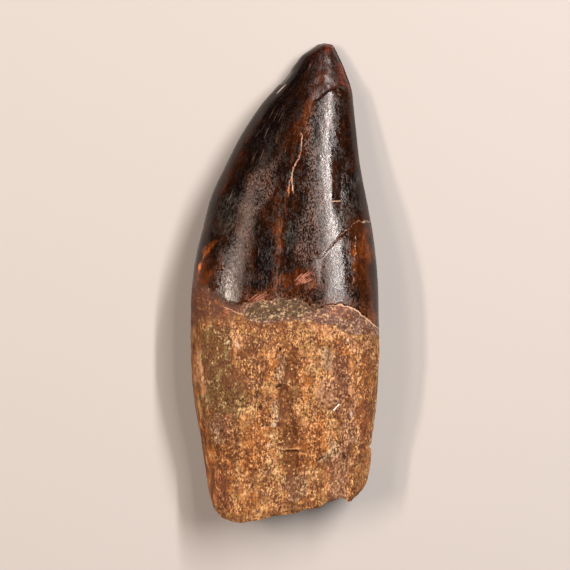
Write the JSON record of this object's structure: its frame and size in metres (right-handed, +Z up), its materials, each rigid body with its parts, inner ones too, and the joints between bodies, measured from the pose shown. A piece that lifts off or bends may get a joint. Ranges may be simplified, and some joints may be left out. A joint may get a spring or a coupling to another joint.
{
  "type": "fossil carcharodontosaurus tooth",
  "caption": "Recurved fossil theropod tooth with a glossy dark crown and a rough tan root, broken off below, lying on its side.",
  "frame": {"origin": "middle of the tooth's outline, on the surface that the tooth lies on", "axes": "+Y from the broken root end to the tip, +X from the convex leading edge to the straighter trailing edge, +Z up from the surface"},
  "size_m": [0.0336, 0.086, 0.0155],
  "materials": {
    "fossil": "glossy dark red-brown enamel on the crown, matte grainy tan root"
  },
  "bodies": {
    "root": {"tooth": "fossil"}
  },
  "joints": []
}
